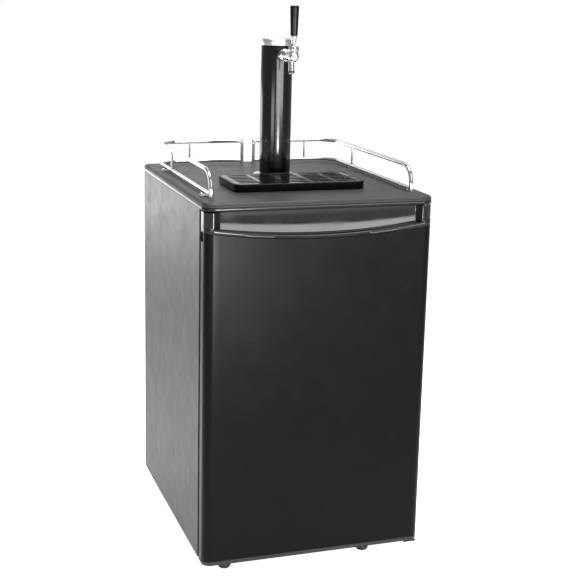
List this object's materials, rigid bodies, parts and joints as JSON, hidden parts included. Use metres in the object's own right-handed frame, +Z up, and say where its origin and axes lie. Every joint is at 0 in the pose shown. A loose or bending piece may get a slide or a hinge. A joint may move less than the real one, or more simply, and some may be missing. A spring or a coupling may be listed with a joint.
{
  "type": "kegerator",
  "caption": "Free-standing beer keg refrigerator with a hinged door, draught tower and tap, lift-out drip tray, worktop guard rails and rear condenser.",
  "frame": {"origin": "on the floor under the middle of the whole object's plan", "axes": "+Z up, -Y towards the user in front of the door and tap, +X towards the hinge side"},
  "size_m": [0.516, 0.632, 1.238],
  "materials": {
    "black_paint": "satin",
    "grey_paint": "satin",
    "tower_paint": "gloss",
    "worktop_plastic": "satin",
    "black_plastic": "satin",
    "gloss_plastic": "gloss",
    "white_plastic": "satin",
    "seal_rubber": "matte",
    "foam": "matte",
    "chrome": "polished",
    "zinc": "satin",
    "aluminium": "satin",
    "hose": "gloss"
  },
  "bodies": {
    "cabinet": {"cabinet_wrap": "black_paint", "inner_liner": "white_plastic", "cabinet_foam": "foam", "base_pan": "grey_paint", "back_panel": "grey_paint", "machine_lining": "zinc", "mains_gland": "black_plastic", "line_duct": "white_plastic", "evaporator_plate": "aluminium", "thermostat_housing": "white_plastic", "keg_floor_plate": "zinc", "compressor": "black_paint", "start_relay": "black_plastic", "condenser_coil": "black_paint", "hinge_bracket_lower": "black_paint", "hinge_pin_lower": "black_paint", "hinge_plate_upper": "zinc", "hinge_pin_upper": "zinc", "worktop": "worktop_plastic", "rail_upper_left": "chrome", "rail_upper_right": "chrome", "rail_lower_left": "chrome", "rail_lower_right": "chrome", "rail_screw_left_front": "chrome", "rail_screw_left_rear": "chrome", "rail_screw_right_front": "chrome", "rail_screw_right_rear": "chrome", "tower_flange": "chrome", "tower_column": "tower_paint", "tower_sleeve": "foam", "shank": "chrome", "shank_collar": "chrome", "shank_nut": "zinc", "coupling_nut": "chrome", "faucet_body": "chrome", "faucet_bonnet": "chrome", "beer_line": "hose", "line_union": "chrome"},
    "door": {"door_skin": "black_paint", "door_fascia": "gloss_plastic", "door_bottom_cap": "black_plastic", "door_liner": "white_plastic", "door_foam": "foam", "door_gasket": "seal_rubber", "hinge_bush_lower": "white_plastic", "hinge_bush_upper": "white_plastic"},
    "tap": {"faucet_lever": "chrome", "lever_ferrule": "chrome", "tap_handle": "black_plastic"},
    "tray": {"drip_tray": "gloss_plastic"},
    "grate": {"drip_grate": "gloss_plastic"},
    "cap": {"tower_cap": "chrome"},
    "thermostat": {"thermostat_knob": "black_plastic"},
    "foot_a": {"foot_front_left": "black_plastic"},
    "foot_b": {"foot_front_right": "black_plastic"},
    "foot_c": {"foot_rear_left": "black_plastic"},
    "foot_d": {"foot_rear_right": "black_plastic"}
  },
  "joints": [
    {"name": "door_hinge", "type": "hinge", "parent": "cabinet", "child": "door", "pos_m": [0.243, -0.288, 0.43], "axis": [0, 0, 1], "range_deg": [0, 115]},
    {"name": "tap_pull", "type": "hinge", "parent": "cabinet", "child": "tap", "pos_m": [0, -0.09, 1.141], "axis": [1, 0, 0], "range_deg": [0, 30]},
    {"name": "tray_lift", "type": "slide", "parent": "cabinet", "child": "tray", "axis": [0, 0, 1], "range_m": [0, 0.06]},
    {"name": "grate_lift", "type": "slide", "parent": "tray", "child": "grate", "axis": [0, 0, 1], "range_m": [0, 0.04]},
    {"name": "cap_lift", "type": "slide", "parent": "cabinet", "child": "cap", "axis": [0, 0, 1], "range_m": [0, 0.04]},
    {"name": "thermostat_turn", "type": "hinge", "parent": "cabinet", "child": "thermostat", "pos_m": [0.1777, -0.07, 0.735], "axis": [-1, 0, 0], "range_deg": [0, 270]},
    {"name": "foot_a_turn", "type": "hinge", "parent": "cabinet", "child": "foot_a", "pos_m": [-0.186, -0.233, 0.02], "axis": [0, 0, 1], "continuous": true},
    {"name": "foot_b_turn", "type": "hinge", "parent": "cabinet", "child": "foot_b", "pos_m": [0.147, -0.233, 0.02], "axis": [0, 0, 1], "continuous": true},
    {"name": "foot_c_turn", "type": "hinge", "parent": "cabinet", "child": "foot_c", "pos_m": [-0.205, 0.25, 0.02], "axis": [0, 0, 1], "continuous": true},
    {"name": "foot_d_turn", "type": "hinge", "parent": "cabinet", "child": "foot_d", "pos_m": [0.205, 0.25, 0.02], "axis": [0, 0, 1], "continuous": true}
  ]
}
